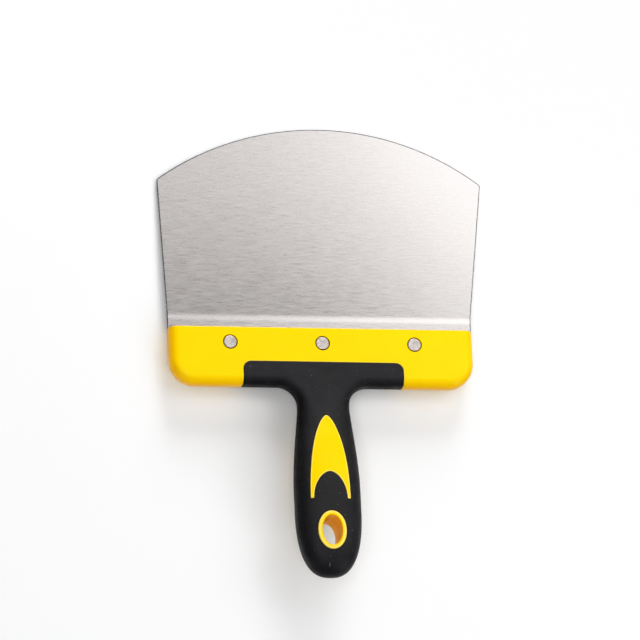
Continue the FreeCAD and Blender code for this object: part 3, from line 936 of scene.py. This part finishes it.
def rivet_finish():
    finish = Finish("rivet_metal_satin", Metallic=1.0)
    blotch = finish.noise(1.6, detail=4.0, roughness=0.6)
    share = finish.remap(blotch, 0.35, 0.65)
    base = finish.blend(share, (0.36, 0.325, 0.305, 1), (0.58, 0.54, 0.525, 1))
    finish.use("Base Color", base)
    finish.use("Roughness", finish.remap(blotch, 0.3, 0.7, 0.50, 0.36))
    finish.use("Normal", finish.bump(finish.noise(0.5, detail=3.0), 0.02))
    return finish.material


def floor_finish():
    finish = Finish("studio_floor", Roughness=0.9)
    tone = finish.noise(60.0, detail=2.0)
    finish.use("Base Color", finish.blend(tone, (0.90, 0.90, 0.90, 1), (0.92, 0.92, 0.92, 1)))
    return finish.material


# ---- studio ----

FLOOR_HALF = 4.0              # in metres
FLOOR_Z = -0.0001             # just under the tool
SKY_EDGE, SKY_TOP = 0.26, 0.09                # the strength of the even light, near the floor and overhead
SKY_FADE = (8.0, 34.0)        # degrees above the floor between which the one turns into the other

CAMERA_SIDE = (-0.2105, -0.281, 0.937)        # from the tool towards the camera
CAMERA_ROLL = 1.01            # in degrees
CAMERA_RIGHT, CAMERA_UP = 0.275, 6.65         # the place that it looks at, in its own directions
CAMERA_DISTANCE = 6000.0
LENS_SHARE = 0.09315          # the lens for each mm of distance, which sets the tool's size in the picture

def add_floor():
    mesh = bpy.data.meshes.new("floor")
    corners = [(x * FLOOR_HALF, y * FLOOR_HALF, 0) for x, y in ((-1, -1), (1, -1), (1, 1), (-1, 1))]
    mesh.from_pydata(corners, [], [(0, 1, 2, 3)])
    mesh.materials.append(floor_finish())
    floor = bpy.data.objects.new("floor", mesh)
    floor.location.z = FLOOR_Z
    bpy.context.scene.collection.objects.link(floor)


def add_soft_box(name, place, size, radiance, turn=0.0, aim=None):
    """A rectangular light of even radiance that faces aim, or straight down after a turn in degrees."""
    data = bpy.data.lights.new(name, "AREA")
    data.shape = "RECTANGLE"
    data.size, data.size_y = size
    data.energy = radiance * size[0] * size[1] * math.pi
    light = bpy.data.objects.new(name, data)
    light.location = place
    light.rotation_euler.z = math.radians(turn)
    if aim:
        light.rotation_euler = (Vector(aim) - Vector(place)).to_track_quat("-Z", "Y").to_euler()
    bpy.context.scene.collection.objects.link(light)


def add_sky():
    """A faint even light from all round, stronger near the floor."""
    world = bpy.data.worlds.new("studio")
    world.use_nodes = True
    nodes, links = world.node_tree.nodes, world.node_tree.links
    background = nodes["Background"]
    background.inputs["Color"].default_value = (0.97, 0.98, 1.0, 1)
    height = nodes.new("ShaderNodeSeparateXYZ")
    fade = nodes.new("ShaderNodeMapRange")
    fade.interpolation_type = "SMOOTHSTEP"
    low, high = (math.sin(math.radians(angle)) for angle in SKY_FADE)
    ends = {"From Min": low, "From Max": high, "To Min": SKY_EDGE, "To Max": SKY_TOP}
    for name, value in ends.items():
        fade.inputs[name].default_value = value
    links.new(nodes.new("ShaderNodeTexCoord").outputs["Generated"], height.inputs[0])
    links.new(height.outputs["Z"], fade.inputs["Value"])
    links.new(fade.outputs["Result"], background.inputs["Strength"])
    bpy.context.scene.world = world


def add_lights():
    """Two panels that the blade mirrors, brighter to the right, and soft boxes round about."""
    middle = (0.0, 0.0, 0.03)
    add_soft_box("band", (0.2, 0.3075, 0.82), (2.0, 0.285), 1.16)
    add_soft_box("key", (0.745, 0.235, 0.8), (1.0, 0.85), 1.40, turn=20.0)
    add_soft_box("front", (0.0, -0.925, 0.8), (2.4, 1.15), 0.35)
    add_soft_box("overhead", (-0.45, -0.15, 1.5), (0.6, 0.6), 5.0, aim=middle)
    add_soft_box("back", (0.1, 1.1, 0.5), (0.5, 0.5), 12.0, aim=middle)
    add_soft_box("front_right", (0.8, -0.85, 0.72), (0.5, 0.5), 4.2, aim=middle)
    add_soft_box("front_left", (-0.85, -0.85, 0.35), (0.5, 0.5), 2.3, aim=middle)


def add_camera():
    """Looks at the front from a little to the left and below, and from far off."""
    facing = Vector(CAMERA_SIDE).normalized()
    level = (Vector((1, 0, 0)) - facing.x * facing).normalized()
    rise = facing.cross(level)
    tilt = math.radians(CAMERA_ROLL)
    right = level * math.cos(tilt) + rise * math.sin(tilt)
    up = rise * math.cos(tilt) - level * math.sin(tilt)
    aim = right * CAMERA_RIGHT + up * CAMERA_UP
    turn = BAR_TO_ROW.to_3x3() * (1 / MM)
    pose = Matrix([turn @ right, turn @ up, turn @ facing]).transposed().to_4x4()
    pose.translation = BAR_TO_ROW @ (aim + facing * CAMERA_DISTANCE)
    data = bpy.data.cameras.new("camera")
    data.sensor_width = 36.0
    data.lens = LENS_SHARE * CAMERA_DISTANCE
    data.clip_start, data.clip_end = 0.1, 30.0
    camera = bpy.data.objects.new("camera", data)
    camera.matrix_world = pose
    bpy.context.scene.collection.objects.link(camera)
    bpy.context.scene.camera = camera


def set_tones():
    """Plain tones with a little more contrast, most of all in the darkest shades."""
    view = bpy.context.scene.view_settings
    view.view_transform = "Standard"
    view.use_curve_mapping = True
    tones = view.curve_mapping.curves[3]
    toe = [(0.01, 0.001), (0.03, 0.0065), (0.05, 0.025), (0.08, 0.06), (0.15, 0.138)]
    shoulder = [(0.4, 0.41), (0.7, 0.77), (0.93, 0.99)]
    for light, shown in toe + shoulder:
        tones.points.new(light, shown)
    view.curve_mapping.update()


def main():
    yellow, black, steel, aluminium = yellow_finish(), rubber_finish(), steel_finish(), rivet_finish()
    make_blade(steel)
    make_clamp_bar(yellow)
    make_inlay("inlay_front", 1, yellow)
    make_inlay("inlay_back", -1, yellow)
    make_hang_sleeve(yellow)
    make_grip_rubber(black)
    for name, x in RIVET_X.items():
        make_rivet_post(name, x, aluminium)
        make_rivet_cap(name, x, aluminium)
    add_floor()
    add_sky()
    add_lights()
    add_camera()
    set_tones()


main()
